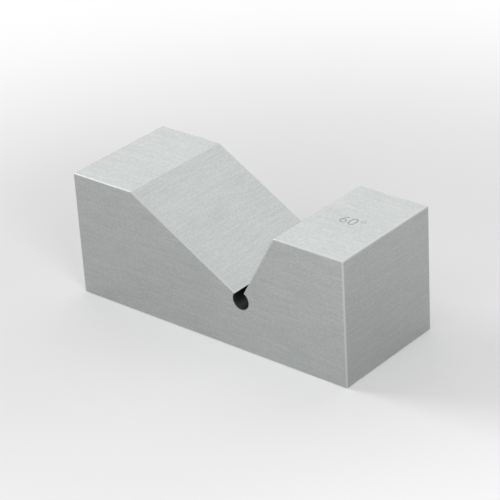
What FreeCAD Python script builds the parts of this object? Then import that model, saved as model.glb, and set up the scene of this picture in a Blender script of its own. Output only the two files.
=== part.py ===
# Angle setup block: one hardened and ground steel bar with a right-angled V across its top.
# The V is tipped over, so one wall slopes 30 degrees from the base and the other 60 degrees.
# Work laid against a wall is held at that angle to the table that the block stands on.
# A relief hole drilled along the bottom of the V clears the corner of square work, and lets
# the grinding wheel run out past the foot of each wall.
#
# Frame, in millimetres: the origin is under the middle of the base, and +Z is up.
# +X runs along the bar, from the gentle wall's side to the steep wall's side.
# +Y runs along the V, from the front face to the back face.

import FreeCAD, Part
import math
import os

INCH = 25.4

# The ground bar
bar_length = 3.125 * INCH
bar_width = 1.25 * INCH
bar_height = 1.25 * INCH

# The V: the slope of its gentle wall, its depth down to the root where the two walls would
# meet, and the flat land that is left on top between the steep wall and the end of the bar
gentle_slope_deg = 30.0
vee_depth = 18.2
steep_side_land = 0.75 * INCH

# The relief hole, an 11/64 inch drill's, whose axis lies a little below the root of the V
relief_diameter = 0.171875 * INCH
relief_drop = 0.6

# The stoned outer edges, and the lighter deburring round the mouths of the relief hole
edge_break = 0.35
mouth_deburr = 0.15

# Places that follow from those sizes: how far each wall runs along X from the root to its
# mouth in the top, and the root and the axis of the relief hole in the front face
gentle_run = vee_depth / math.tan(math.radians(gentle_slope_deg))
steep_run = vee_depth * math.tan(math.radians(gentle_slope_deg))
front_y = -bar_width / 2
steep_mouth = FreeCAD.Vector(bar_length / 2 - steep_side_land, front_y, bar_height)
root = steep_mouth - FreeCAD.Vector(steep_run, 0, vee_depth)
gentle_mouth = root + FreeCAD.Vector(-gentle_run, 0, vee_depth)
relief_axis = root - FreeCAD.Vector(0, 0, relief_drop)
front_to_back = FreeCAD.Vector(0, bar_width, 0)

# Two points this close count as one when the edges of the hole are looked up
touching = 0.001


def ground_bar():
    """The square bar before the V is cut, standing on its base."""
    corner = FreeCAD.Vector(-bar_length / 2, front_y, 0)
    return Part.makeBox(bar_length, bar_width, bar_height, corner)


def vee_wedge():
    """The right-angled wedge that is ground away to leave the V."""
    outline = Part.makePolygon([root, steep_mouth, gentle_mouth, root])
    return Part.Face(outline).extrude(front_to_back)


def relief_core():
    """The round core that is drilled out along the root of the V."""
    return Part.makeCylinder(relief_diameter / 2, bar_width, relief_axis, front_to_back)


def is_on_relief_wall(point):
    """True for a point on the round wall of the relief hole."""
    from_axis = math.hypot(point.x - relief_axis.x, point.z - relief_axis.z)
    return abs(from_axis - relief_diameter / 2) < touching


def bounds_relief_hole(edge):
    """True for the mouths of the relief hole and for the feet of the walls of the V."""
    return all(is_on_relief_wall(vertex.Point) for vertex in edge.Vertexes)


def break_outer_edges(block):
    """Stone every edge of the bar and of the V, and leave the edges of the hole sharp."""
    edges = [edge for edge in block.Edges if not bounds_relief_hole(edge)]
    return block.makeChamfer(edge_break, edges)


def deburr_hole_mouths(block):
    """Take the burr off the round rim of the relief hole at both faces."""
    rims = [edge for edge in block.Edges if bounds_relief_hole(edge)]
    round_rims = [edge for edge in rims if isinstance(edge.Curve, Part.Circle)]
    return block.makeChamfer(mouth_deburr, round_rims)


def setup_block():
    """The finished block."""
    block = ground_bar().cut(vee_wedge()).cut(relief_core())
    block = break_outer_edges(block)
    return deburr_hole_mouths(block)


def write_node(name, shape):
    """Check that a node is one sound solid, and write it to its STEP file."""
    solid = shape.Solids[0]
    if len(shape.Solids) != 1 or not solid.isValid():
        raise ValueError(name + " is not one sound solid")
    solid.exportStep("parts/" + name + ".step")
    print(name, len(solid.Faces), "faces, volume", round(solid.Volume, 1), "mm3")


os.makedirs("parts", exist_ok=True)
write_node("setup_block", setup_block())
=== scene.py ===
import math

import bmesh
import bpy
from bpy.props import FloatProperty, FloatVectorProperty, IntProperty, PointerProperty, StringProperty
from mathutils import Matrix, Quaternion, Vector


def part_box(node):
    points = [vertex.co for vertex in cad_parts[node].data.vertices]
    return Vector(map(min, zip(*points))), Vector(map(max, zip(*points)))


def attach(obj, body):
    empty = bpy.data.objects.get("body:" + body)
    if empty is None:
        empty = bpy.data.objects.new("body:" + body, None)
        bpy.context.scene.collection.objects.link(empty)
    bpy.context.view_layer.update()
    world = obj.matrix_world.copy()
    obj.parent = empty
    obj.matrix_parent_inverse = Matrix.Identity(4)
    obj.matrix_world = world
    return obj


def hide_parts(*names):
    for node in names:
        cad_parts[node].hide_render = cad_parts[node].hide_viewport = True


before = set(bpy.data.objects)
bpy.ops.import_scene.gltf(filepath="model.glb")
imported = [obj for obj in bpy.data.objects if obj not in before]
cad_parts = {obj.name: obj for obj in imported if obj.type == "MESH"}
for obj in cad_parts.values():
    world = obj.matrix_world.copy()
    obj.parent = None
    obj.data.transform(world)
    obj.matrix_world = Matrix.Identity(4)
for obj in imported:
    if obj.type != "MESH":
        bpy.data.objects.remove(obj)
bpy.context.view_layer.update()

bl_info = {
    "name": "Angle Setup Block",
    "version": (1, 0, 0),
    "blender": (4, 5, 0),
    "location": "View3D > Sidebar > Setup Block",
    "description": "A surface-ground angle setup block with a tipped V, and a plain stage for it",
    "category": "Add Mesh",
}

# Everything is in metres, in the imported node's frame: +X along the bar, +Y along the V, +Z up
MM = 0.001
NODE = "setup_block"
PIECE = "ground_setup_block"

# The finishes of the block, in the order of its material slots
FINISHES = ("ground_along_bar", "ground_along_vee", "stoned_edge", "drilled_hole", "etched_mark")

# Edges that turn by more than this stay crisp, and gentler ones are shaded smooth
CRISP_ANGLE = math.radians(35)

# A face leans to an axis when more than this share of its normal lies along it
LEANING = 0.1

# For the font's figures at a size of 1: their height, what is taken off each side of their
# strokes, and how close two points are to be welded into one
FIGURE_HEIGHT = 0.73
STROKE_THINNING = 0.016
WELD_DISTANCE = 0.0001

# How far the roughness of a ground face drifts either way, from cloud to cloud
CLOUD_DRIFT = 0.03

# The floor lies this far under the block, so that the two faces don't share a plane, and it
# has faded out long before its many-sided rim
FLOOR_GAP = 0.02 * MM
FLOOR_SIDES = 96

# The soft lamps: place of the middle, side of the square, power in watts, and angle of the beam
# in degrees. The low beam stands lower than the lands, so it lights the front face, not the top.
LAMPS = {
    "key_lamp": ((-0.98, -0.25, 0.55), 0.5, 5.0, 180),
    "back_panel": ((-0.45, 0.85, 0.62), 1.5, 3.3, 180),
    "near_fill": ((0.20, -0.12, 0.12), 0.1, 0.20, 180),
    "low_beam": ((0.0, -0.18, 0.012), 0.02, 0.003, 50),
}


# ---------------------------------------------------------------- sizes and colours

def linear(hex_colour):
    """An sRGB colour such as "#C0C4C2" as linear red, green and blue."""
    shares = [int(hex_colour[i:i + 2], 16) / 255 for i in (1, 3, 5)]
    return tuple(s / 12.92 if s <= 0.04045 else ((s + 0.055) / 1.055) ** 2.4 for s in shares)


def colour(name, description, hex_colour):
    """A colour that the user can change."""
    return FloatVectorProperty(name=name, description=description, default=linear(hex_colour),
                               size=3, min=0, max=1, subtype="COLOR")


def length(name, description, default):
    """A length in metres that the user can change."""
    return FloatProperty(name=name, description=description, default=default,
                         min=0, precision=5, unit="LENGTH", subtype="DISTANCE")


def angle(name, description, degrees):
    """An angle that the user can change, kept in radians."""
    return FloatProperty(name=name, description=description, default=math.radians(degrees),
                         unit="ROTATION", subtype="ANGLE")


def share(name, description, default):
    """A share from 0 to 1 that the user can change."""
    return FloatProperty(name=name, description=description, default=default,
                         min=0, max=1, subtype="FACTOR")


class SetupBlockSizes(bpy.types.PropertyGroup):
    """The V, the relief hole and the edges. The bar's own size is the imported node's."""
    gentle_slope: angle("Gentle slope", "Slope of the V's gentle wall from the base", 30)
    vee_depth: length("V depth", "From the top down to where the two walls would meet", 18.2 * MM)
    steep_side_land: length("Steep side land", "Flat top between the V and the end", 19.05 * MM)
    relief_diameter: length("Relief hole", "Diameter of the hole along the V's root", 4.366 * MM)
    relief_drop: length("Relief drop", "From the V's root down to the hole's axis", 0.6 * MM)
    relief_steps: IntProperty(name="Relief steps", description="Facets round the relief hole",
                              default=48, min=8)
    edge_break: length("Edge break", "Width of the stoned outer edges", 0.35 * MM)
    mouth_deburr: length("Mouth deburr", "Width of the deburred rims of the hole", 0.15 * MM)
    edge_segments: IntProperty(name="Edge segments", description="Facets across a broken edge",
                               default=3, min=1)
    mark: StringProperty(name="Mark", description="Angle of the steep wall, etched beside it",
                         default="60\N{DEGREE SIGN}")
    mark_height: length("Mark height", "Height of the etched figures", 3.3 * MM)
    mark_depth: length("Mark depth", "How far the etching eats into the land", 0.03 * MM)


class SetupBlockFinish(bpy.types.PropertyGroup):
    """Colours and grain of the hardened tool steel."""
    bright: colour("Bright lines", "The brighter lines of the ground faces", "#B7BAB9")
    dull: colour("Dull lines", "The duller lines of the ground faces", "#AAADAC")
    edge: colour("Stoned edge", "The bright stoned edges", "#BFC2C1")
    # Near black: partly the hole's oxide, and partly painted shade for the deep hole
    scale: colour("Hardening scale", "Blue-black oxide in the drilled hole", "#0D1113")
    etching: colour("Etching", "The frosted grey of the etched figures", "#979B9C")
    ground_roughness: share("Roughness", "Roughness of the ground faces", 0.38)
    line_spacing: length("Line spacing", "Distance between grinding lines", 0.4 * MM)
    line_length: length("Line length", "Length of a grinding line", 8 * MM)
    fleck_size: length("Fleck size", "Size of the flecks that the wheel's grit leaves", 0.4 * MM)
    cloud_size: length("Cloud size", "Size of the faint dull patches", 12 * MM)


class SetupBlockStage(bpy.types.PropertyGroup):
    """Floor, world and camera."""
    floor: colour("Floor", "The pale floor", "#F0F0F0")
    floor_radius: length("Floor radius", "Radius of the floor", 4.0)
    fade_start: length("Fade start", "Where the floor starts to fade into the white world", 0.06)
    fade_end: length("Fade end", "Where the floor has faded out", 0.22)
    daylight: share("Daylight", "How strongly the white world lights what isn't shiny", 0.52)
    azimuth: angle("Azimuth", "How far the camera stands to the right of the front", 41.06)
    elevation: angle("Elevation", "How high the camera stands", 27.81)
    roll: angle("Roll", "Tilt of the camera about its line of sight", -3.5)
    distance: length("Distance", "From the camera to the middle of the block", 0.4838)
    lens: FloatProperty(name="Lens", description="Focal length in millimetres", default=150,
                        min=1, unit="CAMERA")


# ---------------------------------------------------------------- materials

def add(tree, kind, inputs=None, **settings):
    """Add a node: settings are its own, and inputs are its sockets' values or what feeds them."""
    node = tree.nodes.new(kind)
    for name, value in settings.items():
        setattr(node, name, value)
    for name, value in (inputs or {}).items():
        if isinstance(value, bpy.types.NodeSocket):
            tree.links.new(value, node.inputs[name])
        else:
            node.inputs[name].default_value = value
    return node


def new_tree(name):
    """A material with no nodes, and its tree."""
    material = bpy.data.materials.new(name)
    material.use_nodes = True
    material.node_tree.nodes.clear()
    return material, material.node_tree


def output(tree, shader):
    """Send a shader to the material's surface."""
    add(tree, "ShaderNodeOutputMaterial", {"Surface": shader.outputs[0]})


def ground_steel(name, finish, along):
    """Hardened tool steel, surface ground along one axis, where 0 is X and 1 is Y.

    The wheel leaves fine parallel lines: the face is satin and silver grey, with a faint grain
    of short lines and flecks, and slight clouds where the wheel was duller. Bare metal, so
    metallic 1, and roughness 0.35 to 0.41 for a fine ground finish.
    """
    material, tree = new_tree(name)
    place = add(tree, "ShaderNodeTexCoord").outputs["Object"]
    # The wheel's lines are about 0.05 mm apart, too fine to show. The octaves of this noise
    # run from the stated spacing down to that of the real lines.
    per_metre = [1 / finish.line_spacing] * 3
    per_metre[along] = 1 / finish.line_length
    drawn_out = add(tree, "ShaderNodeMapping", {"Vector": place, "Scale": per_metre})
    lines = add(tree, "ShaderNodeTexNoise",
                {"Vector": drawn_out.outputs["Vector"], "Scale": 1.0, "Detail": 3.0,
                 "Roughness": 0.75})
    # Where grit has torn out of the wheel the lines break off, which shows as fine flecks
    flecks = add(tree, "ShaderNodeTexNoise",
                 {"Vector": place, "Scale": 1 / finish.fleck_size, "Detail": 1.0})
    both = add(tree, "ShaderNodeMath",
               {0: lines.outputs["Fac"], 1: flecks.outputs["Fac"]}, operation="ADD")
    # Each noise varies about 0.5, so the two add up to about 1
    tone = add(tree, "ShaderNodeMapRange",
               {"Value": both.outputs["Value"], "From Min": 0.8, "From Max": 1.2})
    steel = add(tree, "ShaderNodeMix",
                {"Factor": tone.outputs["Result"], "A": (*finish.dull, 1),
                 "B": (*finish.bright, 1)}, data_type="RGBA")
    clouds = add(tree, "ShaderNodeTexNoise",
                 {"Vector": place, "Scale": 1 / finish.cloud_size, "Detail": 2.0})
    rough = add(tree, "ShaderNodeMapRange",
                {"Value": clouds.outputs["Fac"], "From Min": 0.3, "From Max": 0.7,
                 "To Min": finish.ground_roughness - CLOUD_DRIFT,
                 "To Max": finish.ground_roughness + CLOUD_DRIFT})
    # The real lines are less than 0.001 mm deep, drawn deeper so that they show
    grain = add(tree, "ShaderNodeBump",
                {"Height": lines.outputs["Fac"], "Strength": 1.0, "Distance": 0.01 * MM})
    output(tree, add(tree, "ShaderNodeBsdfPrincipled",
                     {"Base Color": steel.outputs["Result"], "Metallic": 1.0,
                      "Roughness": rough.outputs["Result"], "Normal": grain.outputs["Normal"]}))
    return material


def stoned_steel(finish):
    """The same steel where an oilstone has broken the edge.

    Rubbed brighter than the faces, so it catches the light as a thin pale line. Metallic 1,
    roughness 0.3 to 0.4.
    """
    material, tree = new_tree("stoned_edge")
    place = add(tree, "ShaderNodeTexCoord").outputs["Object"]
    # The stone's scratches leave the pale line a little uneven. They are about 0.05 mm apart, too
    # fine to show, so they are drawn coarser.
    scratch_spacing = 1.5 * MM
    scratches = add(tree, "ShaderNodeTexNoise", {"Vector": place, "Scale": 1 / scratch_spacing})
    rough = add(tree, "ShaderNodeMapRange",
                {"Value": scratches.outputs["Fac"], "To Min": 0.3, "To Max": 0.4})
    output(tree, add(tree, "ShaderNodeBsdfPrincipled",
                     {"Base Color": (*finish.edge, 1), "Metallic": 1.0,
                      "Roughness": rough.outputs["Result"]}))
    return material


def oxide_and_shade_bore(finish):
    """The drilled hole, never ground, with the blue-black oxide that hardening leaves.

    The scale is a dark, dull film of magnetite over drill marks, and its colour is painted near
    black, darker than the film alone, as painted shade for the deep hole.
    It isn't bare metal: metallic 0, IOR 1.5 and roughness 0.5 to 0.65.
    """
    material, tree = new_tree("drilled_hole")
    place = add(tree, "ShaderNodeTexCoord").outputs["Object"]
    # Drill marks run round the hole about 0.2 mm apart, drawn twice as coarse so that they show
    mark_spacing, mark_length = 0.4 * MM, 6 * MM
    per_metre = (1 / mark_length, 1 / mark_spacing, 1 / mark_length)
    rings = add(tree, "ShaderNodeMapping", {"Vector": place, "Scale": per_metre})
    marks = add(tree, "ShaderNodeTexNoise", {"Vector": rings.outputs["Vector"], "Scale": 1.0})
    rough = add(tree, "ShaderNodeMapRange",
                {"Value": marks.outputs["Fac"], "To Min": 0.5, "To Max": 0.65})
    grain = add(tree, "ShaderNodeBump",
                {"Height": marks.outputs["Fac"], "Strength": 1.0, "Distance": 0.02 * MM})
    # The near-black colour is the oxide, darkened further as painted shade for the deep hole
    output(tree, add(tree, "ShaderNodeBsdfPrincipled",
                     {"Base Color": (*finish.scale, 1), "IOR": 1.5,
                      "Roughness": rough.outputs["Result"], "Normal": grain.outputs["Normal"]}))
    return material


def etched_steel(finish):
    """Steel that an etching stencil has frosted.

    The acid leaves fine pits, so the figures are a matt darker grey with no lines in them.
    Metallic 1, roughness 0.6 to 0.75.
    """
    material, tree = new_tree("etched_mark")
    place = add(tree, "ShaderNodeTexCoord").outputs["Object"]
    # Pits are about 0.02 mm wide, drawn coarser so that they show
    pit_size = 0.25 * MM
    pits = add(tree, "ShaderNodeTexNoise", {"Vector": place, "Scale": 1 / pit_size})
    rough = add(tree, "ShaderNodeMapRange",
                {"Value": pits.outputs["Fac"], "To Min": 0.6, "To Max": 0.75})
    grain = add(tree, "ShaderNodeBump",
                {"Height": pits.outputs["Fac"], "Strength": 1.0, "Distance": 0.02 * MM})
    output(tree, add(tree, "ShaderNodeBsdfPrincipled",
                     {"Base Color": (*finish.etching, 1), "Metallic": 1.0,
                      "Roughness": rough.outputs["Result"], "Normal": grain.outputs["Normal"]}))
    return material


def looked_at(tree):
    """1 for rays from the camera, from gloss and through glass, and 0 for other light."""
    ray = add(tree, "ShaderNodeLightPath").outputs
    shiny = add(tree, "ShaderNodeMath", {0: ray["Is Glossy Ray"], 1: ray["Is Transmission Ray"]},
                operation="MAXIMUM")
    return add(tree, "ShaderNodeMath", {0: ray["Is Camera Ray"], 1: shiny.outputs["Value"]},
               operation="MAXIMUM").outputs["Value"]


def pale_floor(stage):
    """Matt white paper with no gloss.

    It keeps the block's soft shadow, and further out it fades into the white world.
    """
    material, tree = new_tree("white_paper")
    paper = add(tree, "ShaderNodeBsdfPrincipled",
                {"Base Color": (*stage.floor, 1), "Roughness": 0.9, "Specular IOR Level": 0.0})
    place = add(tree, "ShaderNodeTexCoord").outputs["Object"]
    away = add(tree, "ShaderNodeVectorMath", {0: place}, operation="LENGTH")
    faded = add(tree, "ShaderNodeMapRange",
                {"Value": away.outputs["Value"], "From Min": stage.fade_start,
                 "From Max": stage.fade_end}, interpolation_type="SMOOTHSTEP")
    share_of_world = add(tree, "ShaderNodeMath",
                         {0: faded.outputs["Result"], 1: looked_at(tree)}, operation="MULTIPLY")
    world = add(tree, "ShaderNodeEmission")
    output(tree, add(tree, "ShaderNodeMixShader",
                     {0: share_of_world.outputs["Value"], 1: paper.outputs["BSDF"],
                      2: world.outputs["Emission"]}))
    return material


# ---------------------------------------------------------------- the block

class Vee:
    """Where the V lies in the front face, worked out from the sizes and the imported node."""

    def __init__(self, sizes):
        self.low, self.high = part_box(NODE)
        rise = sizes.vee_depth
        # The walls are square to each other, so the steep wall's slope is 1 over the gentle one's
        slope = math.tan(sizes.gentle_slope)
        self.steep_mouth = Vector((self.high.x - sizes.steep_side_land, self.low.y, self.high.z))
        self.root = self.steep_mouth - Vector((rise * slope, 0, rise))
        self.gentle_mouth = self.root + Vector((-rise / slope, 0, rise))
        self.bore_axis = self.root - Vector((0, 0, sizes.relief_drop))

    def outline(self):
        """The corners of the front face, from the foot of the gentle end round by the base."""
        low, high, front = self.low, self.high, self.low.y
        return [Vector((low.x, front, low.z)), Vector((high.x, front, low.z)),
                Vector((high.x, front, high.z)), self.steep_mouth, self.root,
                self.gentle_mouth, Vector((low.x, front, high.z))]


def points(geometry):
    """The vertices in what a bmesh operator gives back."""
    return [item for item in geometry if isinstance(item, bmesh.types.BMVert)]


def is_root(edge, vee):
    """True for the edge along the bottom of the V."""
    return all(math.isclose(vert.co.x, vee.root.x) and math.isclose(vert.co.z, vee.root.z)
               for vert in edge.verts)


def is_beside_mouth(face, vee, reach):
    """True for a face that runs along the edge between a wall of the V and the top."""
    middle = face.calc_center_median()
    along = abs(face.normal.y) < LEANING
    return along and any(abs(middle.x - mouth.x) < reach and abs(middle.z - mouth.z) < reach
                         for mouth in (vee.gentle_mouth, vee.steep_mouth))


def ground_bar(sizes, vee):
    """The bar with its V ground and its outer edges stoned."""
    bm = bmesh.new()
    front = bm.faces.new([bm.verts.new(corner) for corner in vee.outline()])
    swept = bmesh.ops.extrude_face_region(bm, geom=[front])["geom"]
    bmesh.ops.translate(bm, verts=points(swept), vec=(0, vee.high.y - vee.low.y, 0))
    bmesh.ops.recalc_face_normals(bm, faces=bm.faces[:])
    for face in bm.faces:
        # The walls of the V and the ends are ground along Y, and everything else along X
        across = abs(face.normal.x) > LEANING
        face.material_index = FINISHES.index("ground_along_vee" if across else "ground_along_bar")
    outer = [edge for edge in bm.edges if not is_root(edge, vee)]
    broken = bmesh.ops.bevel(bm, geom=outer, offset=sizes.edge_break, offset_type="OFFSET",
                             affect="EDGES", segments=sizes.edge_segments, profile=0.5,
                             material=-1)
    for face in broken["faces"]:
        # The wheel itself leaves the V's mouths clean, so the stone hardly touches them
        ground = is_beside_mouth(face, vee, 2 * sizes.edge_break)
        face.material_index = FINISHES.index("ground_along_vee" if ground else "stoned_edge")
    mesh = bpy.data.meshes.new(PIECE)
    bm.to_mesh(mesh)
    bm.free()
    return mesh


def drill(sizes, vee):
    """The core that the relief hole removes, flared at both faces where its rims are deburred."""
    bm = bmesh.new()
    front, back = vee.low.y, vee.high.y
    radius, flare = sizes.relief_diameter / 2, sizes.mouth_deburr
    # It runs past each face by as much again, still widening
    rows = ((radius + 2 * flare, front - flare), (radius, front + flare),
            (radius, back - flare), (radius + 2 * flare, back + flare))
    side = [bm.verts.new(vee.bore_axis + Vector((out, y - front, 0))) for out, y in rows]
    edges = [bm.edges.new(pair) for pair in zip(side, side[1:])]
    bmesh.ops.spin(bm, geom=side + edges, cent=vee.bore_axis, axis=(0, 1, 0),
                   angle=2 * math.pi, steps=sizes.relief_steps, use_merge=True)
    bmesh.ops.holes_fill(bm, edges=bm.edges[:], sides=0)
    bmesh.ops.recalc_face_normals(bm, faces=bm.faces[:])
    for face in bm.faces:
        face.material_index = FINISHES.index("drilled_hole")
    mesh = bpy.data.meshes.new("drill")
    bm.to_mesh(mesh)
    bm.free()
    return mesh


def applied_mesh(thing):
    """A new mesh of an object as it looks with its modifiers."""
    seen = thing.evaluated_get(bpy.context.evaluated_depsgraph_get())
    return bpy.data.meshes.new_from_object(seen)


def lettering(sizes, vee):
    """The mark as a solid that stands half in the land beside the steep wall."""
    curve = bpy.data.curves.new("lettering", "FONT")
    curve.body = sizes.mark
    curve.align_x = "CENTER"
    curve.align_y = "CENTER"
    curve.offset = -STROKE_THINNING
    # One unit up and one down, which become the depth of the etching
    curve.extrude = 1.0
    flat = bpy.data.objects.new("lettering", curve)
    bpy.context.collection.objects.link(flat)
    mesh = applied_mesh(flat)
    bpy.data.objects.remove(flat)
    size = sizes.mark_height / FIGURE_HEIGHT
    land_middle = Vector(((vee.steep_mouth.x + vee.high.x) / 2, 0, vee.high.z))
    bm = bmesh.new()
    bm.from_mesh(mesh)
    bmesh.ops.remove_doubles(bm, verts=bm.verts[:], dist=WELD_DISTANCE)
    bmesh.ops.scale(bm, verts=bm.verts[:], vec=(size, size, sizes.mark_depth))
    bmesh.ops.translate(bm, verts=bm.verts[:], vec=land_middle)
    for face in bm.faces:
        face.material_index = FINISHES.index("etched_mark")
    bm.to_mesh(mesh)
    bm.free()
    return mesh


def cut(block, tool_mesh):
    """Take a tool's solid out of the block. The new faces have the tool's finish."""
    for material in block.data.materials:
        tool_mesh.materials.append(material)
    tool = bpy.data.objects.new(tool_mesh.name, tool_mesh)
    bpy.context.collection.objects.link(tool)
    taken = block.modifiers.new("cut", "BOOLEAN")
    taken.operation = "DIFFERENCE"
    taken.solver = "EXACT"
    taken.material_mode = "INDEX"
    taken.object = tool
    bpy.context.view_layer.update()
    block.data = applied_mesh(block)
    block.modifiers.remove(taken)
    bpy.data.objects.remove(tool)


# ---------------------------------------------------------------- operators

class MESH_OT_setup_block(bpy.types.Operator):
    """Make the ground block, with its etched angle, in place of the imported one"""
    bl_idname = "mesh.setup_block"
    bl_label = "Setup Block"

    def execute(self, context):
        sizes = context.scene.setup_block_sizes
        finish = context.scene.setup_block_finish
        vee = Vee(sizes)
        block = bpy.data.objects.new(PIECE, ground_bar(sizes, vee))
        context.collection.objects.link(block)
        for material in (ground_steel("ground_along_bar", finish, 0),
                         ground_steel("ground_along_vee", finish, 1),
                         stoned_steel(finish), oxide_and_shade_bore(finish), etched_steel(finish)):
            block.data.materials.append(material)
        cut(block, drill(sizes, vee))
        cut(block, lettering(sizes, vee))
        # The rounded edges are shaded smooth, and the faces beside them stay flat
        block.data.shade_smooth()
        block.data.set_sharp_from_angle(angle=CRISP_ANGLE)
        block.modifiers.new("flat_faces", "WEIGHTED_NORMAL").keep_sharp = True
        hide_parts(NODE)
        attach(block, "root")
        return {"FINISHED"}


def light_world(stage):
    """A white world, and how strongly it lights what isn't shiny."""
    world = bpy.data.worlds.new("white_studio")
    world.use_nodes = True
    tree = world.node_tree
    tree.nodes.clear()
    strength = add(tree, "ShaderNodeMapRange",
                   {"Value": looked_at(tree), "To Min": stage.daylight, "To Max": 1.0})
    glow = add(tree, "ShaderNodeBackground",
               {"Color": (1, 1, 1, 1), "Strength": strength.outputs["Result"]})
    add(tree, "ShaderNodeOutputWorld", {"Surface": glow.outputs["Background"]})
    bpy.context.scene.world = world


def lay_floor(stage):
    """A round sheet of white paper just under the block."""
    bm = bmesh.new()
    bmesh.ops.create_circle(bm, cap_ends=True, segments=FLOOR_SIDES, radius=stage.floor_radius,
                            matrix=Matrix.Translation((0, 0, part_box(NODE)[0].z - FLOOR_GAP)))
    mesh = bpy.data.meshes.new("floor")
    bm.to_mesh(mesh)
    bm.free()
    mesh.materials.append(pale_floor(stage))
    floor = bpy.data.objects.new("floor", mesh)
    bpy.context.collection.objects.link(floor)


def hang_lamps(aim):
    """The soft square lamps, all turned to the block."""
    for name, (place, side, power, beam) in LAMPS.items():
        lamp = bpy.data.lights.new(name, "AREA")
        lamp.size = side
        lamp.energy = power
        lamp.spread = math.radians(beam)
        stand = bpy.data.objects.new(name, lamp)
        stand.location = place
        stand.rotation_mode = "QUATERNION"
        stand.rotation_quaternion = (aim - Vector(place)).to_track_quat("-Z", "Y")
        bpy.context.collection.objects.link(stand)


def set_camera(stage, aim):
    """The camera, looking at the middle of the block."""
    flat = math.cos(stage.elevation)
    back = Vector((math.sin(stage.azimuth) * flat, -math.cos(stage.azimuth) * flat,
                   math.sin(stage.elevation)))
    lens = bpy.data.cameras.new("camera")
    lens.lens = stage.lens
    camera = bpy.data.objects.new("camera", lens)
    camera.location = aim + back * stage.distance
    camera.rotation_mode = "QUATERNION"
    camera.rotation_quaternion = ((-back).to_track_quat("-Z", "Y")
                                  @ Quaternion((0, 0, 1), stage.roll))
    bpy.context.collection.objects.link(camera)
    bpy.context.scene.camera = camera


class SCENE_OT_setup_block_stage(bpy.types.Operator):
    """Set up the pale floor, the white world, the soft lamps and the camera"""
    bl_idname = "scene.setup_block_stage"
    bl_label = "Plain Stage"

    def execute(self, context):
        stage = context.scene.setup_block_stage
        low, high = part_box(NODE)
        aim = (low + high) / 2
        light_world(stage)
        lay_floor(stage)
        hang_lamps(aim)
        set_camera(stage, aim)
        context.scene.view_settings.view_transform = "Standard"
        return {"FINISHED"}


class VIEW3D_PT_setup_block(bpy.types.Panel):
    """The block's sizes and finish, the stage's settings, and a button for each"""
    bl_idname = "VIEW3D_PT_setup_block"
    bl_label = "Setup Block"
    bl_space_type = "VIEW_3D"
    bl_region_type = "UI"
    bl_category = "Setup Block"

    def draw(self, context):
        scene = context.scene
        self.list_settings(scene.setup_block_sizes)
        self.list_settings(scene.setup_block_finish)
        self.layout.operator(MESH_OT_setup_block.bl_idname)
        self.list_settings(scene.setup_block_stage)
        self.layout.operator(SCENE_OT_setup_block_stage.bl_idname)

    def list_settings(self, group):
        column = self.layout.column(align=True)
        for name in type(group).__annotations__:
            column.prop(group, name)


# ---------------------------------------------------------------- add-on

GROUPS = {
    "setup_block_sizes": SetupBlockSizes,
    "setup_block_finish": SetupBlockFinish,
    "setup_block_stage": SetupBlockStage,
}
BUTTONS = (MESH_OT_setup_block, SCENE_OT_setup_block_stage, VIEW3D_PT_setup_block)


def register():
    for name, group in GROUPS.items():
        bpy.utils.register_class(group)
        setattr(bpy.types.Scene, name, PointerProperty(type=group))
    for button in BUTTONS:
        bpy.utils.register_class(button)


def unregister():
    for button in reversed(BUTTONS):
        bpy.utils.unregister_class(button)
    for name, group in reversed(GROUPS.items()):
        delattr(bpy.types.Scene, name)
        bpy.utils.unregister_class(group)


def main():
    register()
    bpy.ops.mesh.setup_block()
    bpy.ops.scene.setup_block_stage()
    bpy.context.view_layer.update()


if __name__ == "__main__":
    main()
